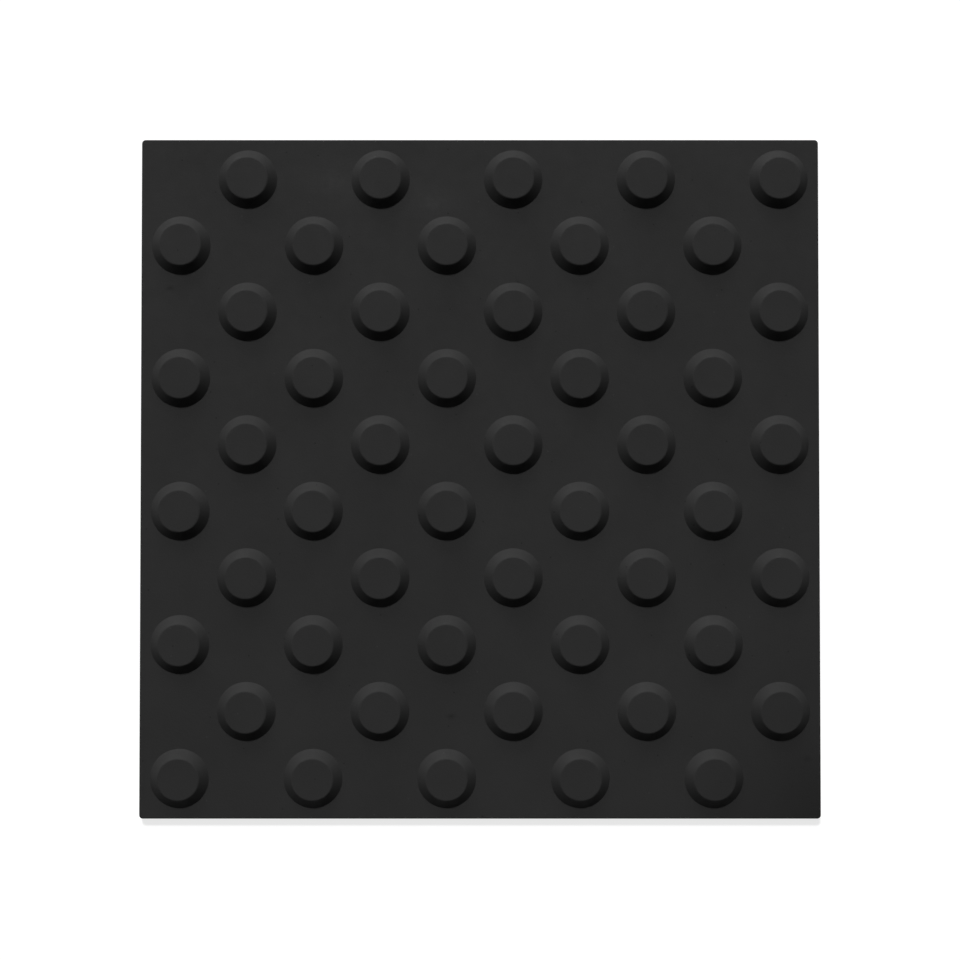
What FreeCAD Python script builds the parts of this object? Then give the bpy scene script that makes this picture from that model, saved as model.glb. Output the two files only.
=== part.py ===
import FreeCAD, Part
import os

# A square tactile warning slab, moulded in one piece: a flat plate with flat-topped domes,
# set in staggered rows, on its upper face. Millimetres, +Z up, origin at the middle of the
# underside, X and Y along the slab's sides.

# Plate
slab_length = 400.0  # along X
slab_width = 400.0  # along Y
plate_thickness = 5.0  # flat plate under the domes
corner_radius = 2.2  # rounding of the four corners, seen from above
edge_radius = 0.5  # rounding along the upper edge

# Domes, each a cone cut off flat
dome_top_diameter = 24.4  # where the flat top and the flank would meet without their rounding
dome_flank_run = 5.1  # how far the flank spreads outwards on its way down
dome_height = 5.0  # from the plate to the flat top
rim_radius = 1.3  # rounding between the flat top and the flank
foot_radius = 0.4  # fillet between the flank and the plate

# Pattern: the domes stand on every second point of a square grid, centred on the plate
grid_pitch = 39.2  # between neighbouring grid lines, along X and along Y
least_edge_land = 5.0  # flat strip that has to stay between a dome's foot and the slab's edge

# Derived sizes
dome_top_radius = dome_top_diameter / 2
dome_foot_radius = dome_top_radius + dome_flank_run
outermost_dome = least_edge_land + dome_foot_radius

match_tolerance = 1e-4  # how closely an edge has to lie where it is looked for


def flat_edges(shape, level):
    """The edges of a shape that lie flat at one height."""
    return [
        edge
        for edge in shape.Edges
        if abs(edge.BoundBox.ZMin - level) < match_tolerance
        and abs(edge.BoundBox.ZMax - level) < match_tolerance
    ]


def grid_lines(side):
    """Places of the grid lines across one side, as many as fit, centred on zero."""
    count = int((side - 2 * outermost_dome) // grid_pitch) + 1
    return [(index - (count - 1) / 2) * grid_pitch for index in range(count)]


# Plate: a block with its four upright corners rounded, then its upper edge
block_corner = FreeCAD.Vector(-slab_length / 2, -slab_width / 2, 0)
plate = Part.makeBox(slab_length, slab_width, plate_thickness, block_corner)
upright_edges = [edge for edge in plate.Edges if edge.BoundBox.ZLength > plate_thickness / 2]
plate = plate.makeFillet(corner_radius, upright_edges)
plate = plate.makeFillet(edge_radius, flat_edges(plate, plate_thickness))

# Dome: a cone cut off flat, with its rim rounded
dome = Part.makeCone(dome_foot_radius, dome_top_radius, dome_height)
dome = dome.makeFillet(rim_radius, flat_edges(dome, dome_height))

# Pattern: the front row starts with a dome at its left end, and each row behind it starts one
# grid line further on or further back, so that the domes stand in a chequer
domes = []
for row, y in enumerate(grid_lines(slab_width)):
    for column, x in enumerate(grid_lines(slab_length)):
        if (row + column) % 2 == 0:
            domes.append(dome.translated(FreeCAD.Vector(x, y, plate_thickness)))

# Slab: plate and domes are one moulding, with a fillet round the foot of every dome
slab = plate.multiFuse(domes).removeSplitter()
foot_circles = [edge for edge in flat_edges(slab, plate_thickness) if edge.isClosed()]
slab = slab.makeFillet(foot_radius, foot_circles)

os.makedirs("parts", exist_ok=True)
slab.Solids[0].exportStep("parts/tactile_slab.step")
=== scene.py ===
import bmesh
import bpy
import math
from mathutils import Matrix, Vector


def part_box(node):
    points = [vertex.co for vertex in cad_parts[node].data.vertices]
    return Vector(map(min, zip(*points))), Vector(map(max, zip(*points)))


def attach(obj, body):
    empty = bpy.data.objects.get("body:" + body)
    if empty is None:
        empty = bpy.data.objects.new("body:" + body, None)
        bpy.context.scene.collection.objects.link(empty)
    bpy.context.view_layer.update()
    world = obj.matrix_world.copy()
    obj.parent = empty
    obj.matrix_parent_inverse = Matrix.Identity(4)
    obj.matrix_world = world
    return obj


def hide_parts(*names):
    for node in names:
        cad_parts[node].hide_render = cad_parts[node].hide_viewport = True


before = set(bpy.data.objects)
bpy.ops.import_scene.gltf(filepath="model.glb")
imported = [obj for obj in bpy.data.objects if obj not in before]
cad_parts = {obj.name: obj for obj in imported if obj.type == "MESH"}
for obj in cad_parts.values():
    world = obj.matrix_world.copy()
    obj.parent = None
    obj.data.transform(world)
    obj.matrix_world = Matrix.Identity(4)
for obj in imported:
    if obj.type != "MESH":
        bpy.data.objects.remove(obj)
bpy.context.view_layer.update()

# Slab: one slab of black rubber, pressed in a heated steel mould that leaves a flat plate with
# staggered rows of flat-topped domes on its upper face. It has no other pieces, and lies on its
# flat underside, where floor adhesive would hold it.
MM = 0.001
slab_low, slab_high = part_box("tactile_slab")
slab_length = slab_high.x - slab_low.x
slab_width = slab_high.y - slab_low.y
dome_height = 5 * MM
plate_top = slab_high.z - dome_height
corner_radius = 2.2 * MM
edge_radius = 0.5 * MM
edge_strip = 1 * MM  # strip of the upper face that is kept along the plate's edge
dome_top_radius = 12.2 * MM
dome_flank_run = 5.1 * MM
dome_foot_radius = dome_top_radius + dome_flank_run
rim_radius = 1.3 * MM
foot_radius = 0.4 * MM
collar_width = 1 * MM  # ring of the upper face that is modelled round each dome
grid_pitch = 39.2 * MM
pairs_per_side = 5  # the domes stand on every second point of a grid, two to each square of four
first_line = (0.5 - pairs_per_side) * grid_pitch
dome_sides = 64
round_steps = 8  # faces across the rounds that are plain to see: the corners and the domes' rims
small_round_steps = 4  # faces across the small rounds of the plate's edge and the domes' feet
smooth_below = math.radians(30)  # faces that meet at less than this are shaded as one
near = 0.01 * MM  # how closely an edge or face has to lie where it is looked for


def select(piece, part, wanted):
    """In edit mode, selects the edges or faces of a piece that pass a test, and nothing else."""
    bpy.ops.mesh.select_mode(type="EDGE" if part == "edges" else "FACE")
    bpy.ops.mesh.select_all(action="DESELECT")
    shape = bmesh.from_edit_mesh(piece.data)
    for element in getattr(shape, part):
        element.select = wanted(element)
    shape.select_flush_mode()
    bmesh.update_edit_mesh(piece.data)


def lies_at(level):
    """A test for edges that lie flat at one height."""
    return lambda edge: all(abs(end.co.z - level) < near for end in edge.verts)


# The plate is a block with its corners and its upper edge rounded, and its upper face cut out
# inside the edge strip
bpy.ops.object.select_all(action="DESELECT")
bpy.ops.mesh.primitive_cube_add(
    size=1,
    location=(0, 0, (slab_low.z + plate_top) / 2),
    scale=(slab_length, slab_width, plate_top - slab_low.z),
)
slab = bpy.context.object
slab.name = "moulded_slab"
bpy.ops.object.transform_apply(location=True, scale=True)
bpy.ops.object.mode_set(mode="EDIT")
select(slab, "edges", lambda edge: abs(edge.verts[0].co.z - edge.verts[1].co.z) > near)
bpy.ops.mesh.bevel(offset=corner_radius, segments=round_steps, affect="EDGES")
select(slab, "edges", lies_at(plate_top))
bpy.ops.mesh.bevel(offset=edge_radius, segments=small_round_steps, affect="EDGES")
select(slab, "faces", lambda face: min(corner.co.z for corner in face.verts) > plate_top - near)
bpy.ops.mesh.inset(thickness=edge_strip)
bpy.ops.mesh.delete(type="ONLY_FACE")
bpy.ops.object.mode_set(mode="OBJECT")

# A dome is a cone cut off flat and open below, with a flat collar drawn out from its foot, and
# then its rim and its foot rounded
flank_slope = math.atan2(dome_height, dome_flank_run)
reach_of_round = math.tan(flank_slope / 2)  # how far a round of radius 1 reaches from its corner
bpy.ops.object.select_all(action="DESELECT")
bpy.ops.mesh.primitive_cone_add(
    vertices=dome_sides,
    radius1=dome_foot_radius,
    radius2=dome_top_radius,
    depth=dome_height,
    location=(0, 0, plate_top + dome_height / 2),
)
dome = bpy.context.object
bpy.ops.object.transform_apply(location=True)
bpy.ops.object.mode_set(mode="EDIT")
select(dome, "faces", lambda face: max(corner.co.z for corner in face.verts) < plate_top + near)
bpy.ops.mesh.delete(type="ONLY_FACE")
select(dome, "edges", lies_at(plate_top))
bpy.ops.mesh.extrude_edges_move()
collar_growth = 1 + collar_width / dome_foot_radius
bpy.ops.transform.resize(value=(collar_growth, collar_growth, 1), center_override=(0, 0, plate_top))
select(dome, "edges", lies_at(slab_high.z))
bpy.ops.mesh.bevel(offset=rim_radius * reach_of_round, segments=round_steps, affect="EDGES")
select(
    dome,
    "edges",
    lambda edge: lies_at(plate_top)(edge)
    and all(end.co.xy.length < dome_foot_radius + near for end in edge.verts),
)
bpy.ops.mesh.bevel(offset=foot_radius * reach_of_round, segments=small_round_steps, affect="EDGES")
bpy.ops.object.mode_set(mode="OBJECT")

# Two domes, one grid line apart each way, are repeated along both sides
bpy.ops.object.duplicate()
second_dome = bpy.context.object
dome.location = (first_line, first_line, 0)
second_dome.location = (first_line + grid_pitch, first_line + grid_pitch, 0)
dome.select_set(True)
bpy.ops.object.transform_apply(location=True)
bpy.context.view_layer.objects.active = dome
bpy.ops.object.join()
for name, step in (("along", (2 * grid_pitch, 0, 0)), ("across", (0, 2 * grid_pitch, 0))):
    rows = dome.modifiers.new(name, "ARRAY")
    rows.count = pairs_per_side
    rows.use_relative_offset = False
    rows.use_constant_offset = True
    rows.constant_offset_displace = step
    bpy.ops.object.modifier_apply(modifier=name)

# Plate and domes are joined, and the upper face between the collars and the edge strip is filled in
slab.select_set(True)
bpy.context.view_layer.objects.active = slab
bpy.ops.object.join()
bpy.ops.object.mode_set(mode="EDIT")
select(slab, "edges", lambda edge: edge.is_boundary)
bpy.ops.mesh.fill()
bpy.ops.mesh.select_all(action="SELECT")
bpy.ops.mesh.normals_make_consistent(inside=False)
bpy.ops.object.mode_set(mode="OBJECT")
bpy.ops.object.shade_smooth_by_angle(angle=smooth_below)
evened = slab.modifiers.new("evened", "WEIGHTED_NORMAL")
evened.keep_sharp = True
bpy.ops.object.modifier_apply(modifier="evened")


def linear(hex_colour):
    """The linear colour of an sRGB hex value."""
    channels = [int(hex_colour[start:start + 2], 16) / 255 for start in (1, 3, 5)]
    curved = [c / 12.92 if c <= 0.04045 else ((c + 0.055) / 1.055) ** 2.4 for c in channels]
    return (*curved, 1)


def add_node(tree, kind, settings=None, inputs=None):
    """Adds a node with its settings. An input, by name or number, takes a value or a node's output."""
    node = tree.nodes.new(kind)
    for name, value in (settings or {}).items():
        setattr(node, name, value)
    for socket, value in (inputs or {}).items():
        if isinstance(value, bpy.types.NodeSocket):
            tree.links.new(value, node.inputs[socket])
        else:
            node.inputs[socket].default_value = value
    return node


# Black rubber, pressed hot against blasted steel: coloured through and dull, with a fine grain and
# hardly any shine. Soft patches of paler bloom, two rubbed places by the back edge and a few specks
# and smudges of ground-in dirt break the black, and the front right corner is darker with painted
# shade, where the light falls off towards it.
rubber_black = linear("#292929")
rubber_bloom = linear("#2C2C2C")
bloom_patch = 45 * MM
# Painted shade: the colour darkens towards the front right corner, as the light falls off there
rubber_painted_shade = linear("#1F1F1F")
painted_shade_corner = (slab_high.x, slab_low.y, plate_top)
painted_shade_reach = (120 * MM, 120 * MM, 120 * MM)
rubber_rubbed = linear("#363636")
rubbed_places = ((-87 * MM, 176 * MM, plate_top), (-29 * MM, 162 * MM, plate_top))
rubbed_reach = (28 * MM, 21 * MM, 6 * MM)
rub_mark = 3 * MM
rubber_grit = linear("#1F1F1F")
smudge_places = (
    (192 * MM, -165 * MM, plate_top),
    (-183 * MM, 112 * MM, plate_top),
    (-17 * MM, -140 * MM, plate_top),
)
smudge_reach = (5 * MM, 3 * MM, 3 * MM)
rubber_lint = linear("#333333")
speck_spacing = 20 * MM
speck_radius = 0.45 * MM
grit_below = 0.3  # each place draws a number from 0 to 1, and below this it holds a speck of grit
lint_above = 0.9  # and above this, one of pale lint
dull_least, dull_most = 0.72, 0.82  # roughness of the least and the most dull patches
dull_patch = 7 * MM
rubber_ior = 1.5
rubber_shine = 0.12  # a quarter of a smooth skin's shine, since the grain breaks it up
grain = 1.2 * MM  # the real grain is about 0.2 mm, too fine to show, so it is six times as coarse
grain_depth = 0.06 * MM
patch_detail, grain_detail = 3, 2  # how often a noise is laid over itself at half the size
noise_low, noise_high = 0.3, 0.7  # nearly all values of a noise lie between these
MIX_FROM, MIX_TO, MIXED = 6, 7, 2  # the colour sockets of a Mix node

rubber = bpy.data.materials.new("black_pressed_rubber")
rubber.use_nodes = True
tree = rubber.node_tree
tree.nodes.clear()
place = add_node(tree, "ShaderNodeTexCoord").outputs["Object"]


def patch_round(centre, reach):
    """How near a point is to the middle of a round or oval patch, from 1 there to 0 at its reach."""
    offset = add_node(
        tree,
        "ShaderNodeMapping",
        {"vector_type": "TEXTURE"},
        {"Vector": place, "Location": centre, "Scale": reach},
    )
    nearness = add_node(
        tree,
        "ShaderNodeTexGradient",
        {"gradient_type": "QUADRATIC_SPHERE"},
        {"Vector": offset.outputs["Vector"]},
    )
    return nearness.outputs["Fac"]


bloom = add_node(
    tree,
    "ShaderNodeTexNoise",
    inputs={"Vector": place, "Scale": 1 / bloom_patch, "Detail": patch_detail},
)
bloomed = add_node(
    tree,
    "ShaderNodeMapRange",
    inputs={"Value": bloom.outputs["Fac"], "From Min": noise_low, "From Max": noise_high},
)
tints = [
    (bloomed.outputs["Result"], rubber_bloom),
    # painted shade towards the front right corner
    (patch_round(painted_shade_corner, painted_shade_reach), rubber_painted_shade),
]

rub_marks = add_node(
    tree,
    "ShaderNodeTexNoise",
    inputs={"Vector": place, "Scale": 1 / rub_mark, "Detail": patch_detail},
)
for centre in rubbed_places:
    rubbed = add_node(
        tree,
        "ShaderNodeMath",
        {"operation": "MULTIPLY"},
        {0: patch_round(centre, rubbed_reach), 1: rub_marks.outputs["Fac"]},
    )
    tints.append((rubbed.outputs["Value"], rubber_rubbed))
for centre in smudge_places:
    tints.append((patch_round(centre, smudge_reach), rubber_grit))

specks = add_node(
    tree,
    "ShaderNodeTexVoronoi",
    {"voronoi_dimensions": "2D"},
    {"Vector": place, "Scale": 1 / speck_spacing},
)
in_speck = add_node(
    tree,
    "ShaderNodeMath",
    {"operation": "LESS_THAN"},
    {0: specks.outputs["Distance"], 1: speck_radius / speck_spacing},
)
chance = add_node(tree, "ShaderNodeSeparateColor", inputs={"Color": specks.outputs["Color"]})
for side, limit, tint in (
    ("LESS_THAN", grit_below, rubber_grit),
    ("GREATER_THAN", lint_above, rubber_lint),
):
    of_this_kind = add_node(
        tree,
        "ShaderNodeMath",
        {"operation": side},
        {0: chance.outputs["Red"], 1: limit},
    )
    speck = add_node(
        tree,
        "ShaderNodeMath",
        {"operation": "MULTIPLY"},
        {0: in_speck.outputs["Value"], 1: of_this_kind.outputs["Value"]},
    )
    tints.append((speck.outputs["Value"], tint))

colour = rubber_black
for share, tint in tints:
    colour = add_node(
        tree,
        "ShaderNodeMix",
        {"data_type": "RGBA"},
        {"Factor": share, MIX_FROM: colour, MIX_TO: tint},
    ).outputs[MIXED]

dulling = add_node(
    tree,
    "ShaderNodeTexNoise",
    inputs={"Vector": place, "Scale": 1 / dull_patch, "Detail": patch_detail},
)
roughness = add_node(
    tree,
    "ShaderNodeMapRange",
    inputs={
        "Value": dulling.outputs["Fac"],
        "From Min": noise_low,
        "From Max": noise_high,
        "To Min": dull_least,
        "To Max": dull_most,
    },
)
skin = add_node(
    tree,
    "ShaderNodeTexNoise",
    inputs={"Vector": place, "Scale": 1 / grain, "Detail": grain_detail},
)
relief = add_node(
    tree,
    "ShaderNodeBump",
    inputs={"Height": skin.outputs["Fac"], "Distance": grain_depth},
)
surface = add_node(
    tree,
    "ShaderNodeBsdfPrincipled",
    inputs={
        "Base Color": colour,
        "Roughness": roughness.outputs["Result"],
        "IOR": rubber_ior,
        "Specular IOR Level": rubber_shine,
        "Normal": relief.outputs["Normal"],
    },
)
add_node(tree, "ShaderNodeOutputMaterial", inputs={"Surface": surface.outputs["BSDF"]})
slab.data.materials.clear()
slab.data.materials.append(rubber)

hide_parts("tactile_slab")
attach(slab, "root")

# Floor: a plain sheet of white studio paper, wide enough to fill every view. It is matt, takes the
# slab's shadow, and is shown white to the eye and in reflections.
floor_side = 12.0  # metres
bpy.ops.object.select_all(action="DESELECT")
bpy.ops.mesh.primitive_plane_add(size=floor_side, location=(0, 0, slab_low.z))
floor = bpy.context.object
floor.name = "studio_floor"
bpy.ops.object.transform_apply(location=True)


def seen_directly(tree):
    """1 for rays from the eye, straight, mirrored or through glass, and 0 for light on other things."""
    path = add_node(tree, "ShaderNodeLightPath")
    mirrored = add_node(
        tree,
        "ShaderNodeMath",
        {"operation": "MAXIMUM"},
        {0: path.outputs["Is Glossy Ray"], 1: path.outputs["Is Transmission Ray"]},
    )
    seen = add_node(
        tree,
        "ShaderNodeMath",
        {"operation": "MAXIMUM"},
        {0: path.outputs["Is Camera Ray"], 1: mirrored.outputs["Value"]},
    )
    return seen.outputs["Value"]


# White paper with a matt, pulpy face: pale all over, with no shine
paper_shade = linear("#A0A0A0")  # what it sends back of the light that falls on it
paper_glow = 0.78  # what lifts it to white where it is seen
paper = bpy.data.materials.new("white_studio_paper")
paper.use_nodes = True
tree = paper.node_tree
tree.nodes.clear()
matt = add_node(tree, "ShaderNodeBsdfDiffuse", inputs={"Color": paper_shade})
glow = add_node(tree, "ShaderNodeEmission", inputs={"Strength": paper_glow})
lit = add_node(
    tree,
    "ShaderNodeAddShader",
    inputs={0: matt.outputs["BSDF"], 1: glow.outputs["Emission"]},
)
shown = add_node(
    tree,
    "ShaderNodeMixShader",
    inputs={"Fac": seen_directly(tree), 1: matt.outputs["BSDF"], 2: lit.outputs["Shader"]},
)
add_node(tree, "ShaderNodeOutputMaterial", inputs={"Surface": shown.outputs["Shader"]})
floor.data.materials.append(paper)

# Light: a soft key lamp far behind the slab and a little to the left, about as high as the flanks
# are steep, so that it leaves their front sides dark and throws hardly any shadow past their feet.
# A weaker, wide one low down on the same side lifts the flanks that face it.
lamps_azimuth = -9  # degrees from straight behind the slab, and less than 0 is to the left
lamp_distance = 3.0  # metres, for the place of the stands alone: far lamps shine alike from anywhere


def far_lamp(name, elevation, spread, strength):
    """A far lamp that stands this high and looks this wide from the slab, both in degrees."""
    turn = math.radians(lamps_azimuth)
    rise = math.radians(elevation)
    level = math.cos(rise)
    towards = Vector((math.sin(turn) * level, math.cos(turn) * level, math.sin(rise)))
    lamp = bpy.data.lights.new(name, "SUN")
    lamp.angle = math.radians(spread)
    lamp.energy = strength
    stand = bpy.data.objects.new(name, lamp)
    stand.location = towards * lamp_distance
    stand.rotation_euler = towards.to_track_quat("Z", "Y").to_euler()
    bpy.context.collection.objects.link(stand)


far_lamp("key_lamp", elevation=43, spread=10, strength=3.12)
far_lamp("low_lamp", elevation=8, spread=40, strength=2.0)

# Room: dim, with a white wall all round that starts at the floor and fades out upwards. The wall is
# seen and mirrored, and adds no light of its own.
room_dimness = 0.015  # strength of the rest of the room, where 1 is white
wall_white_to = math.sin(math.radians(18))  # as heights on a globe of radius 1 round the slab
wall_gone_by = math.sin(math.radians(22))
wall_white = linear("#FFFFFF")
room = bpy.data.worlds.new("studio")
bpy.context.scene.world = room
room.use_nodes = True
tree = room.node_tree
tree.nodes.clear()
direction = add_node(tree, "ShaderNodeTexCoord").outputs["Generated"]
height = add_node(tree, "ShaderNodeSeparateXYZ", inputs={"Vector": direction})
wall = add_node(
    tree,
    "ShaderNodeMapRange",
    inputs={
        "Value": height.outputs["Z"],
        "From Min": wall_white_to,
        "From Max": wall_gone_by,
        "To Min": 1,
        "To Max": 0,
    },
)
wall_seen = add_node(
    tree,
    "ShaderNodeMath",
    {"operation": "MULTIPLY"},
    {0: wall.outputs["Result"], 1: seen_directly(tree)},
)
brightness = add_node(
    tree,
    "ShaderNodeMath",
    {"operation": "MAXIMUM"},
    {0: wall_seen.outputs["Value"], 1: room_dimness},
)
air = add_node(
    tree,
    "ShaderNodeBackground",
    inputs={"Color": wall_white, "Strength": brightness.outputs["Value"]},
)
add_node(tree, "ShaderNodeOutputWorld", inputs={"Surface": air.outputs["Background"]})

# Camera: a degree towards the front from straight above the slab, and so far off that the tops of
# the domes lean outwards as little as they do in the photo
camera_distance = 878 * MM
camera_lean = math.radians(1.1)
aim_forward = 1.25 * MM  # how far in front of the slab's middle it looks
aim = Vector((0, -aim_forward, plate_top))
sensor_width = 36  # in millimetres, as is the focal length
focal_length = 55.9
lens = bpy.data.cameras.new("camera")
lens.sensor_width = sensor_width
lens.lens = focal_length
camera = bpy.data.objects.new("camera", lens)
camera.location = aim + camera_distance * Vector((0, -math.sin(camera_lean), math.cos(camera_lean)))
camera.rotation_euler = (camera_lean, 0, 0)
bpy.context.collection.objects.link(camera)
bpy.context.scene.camera = camera

bpy.context.scene.view_settings.view_transform = "Standard"
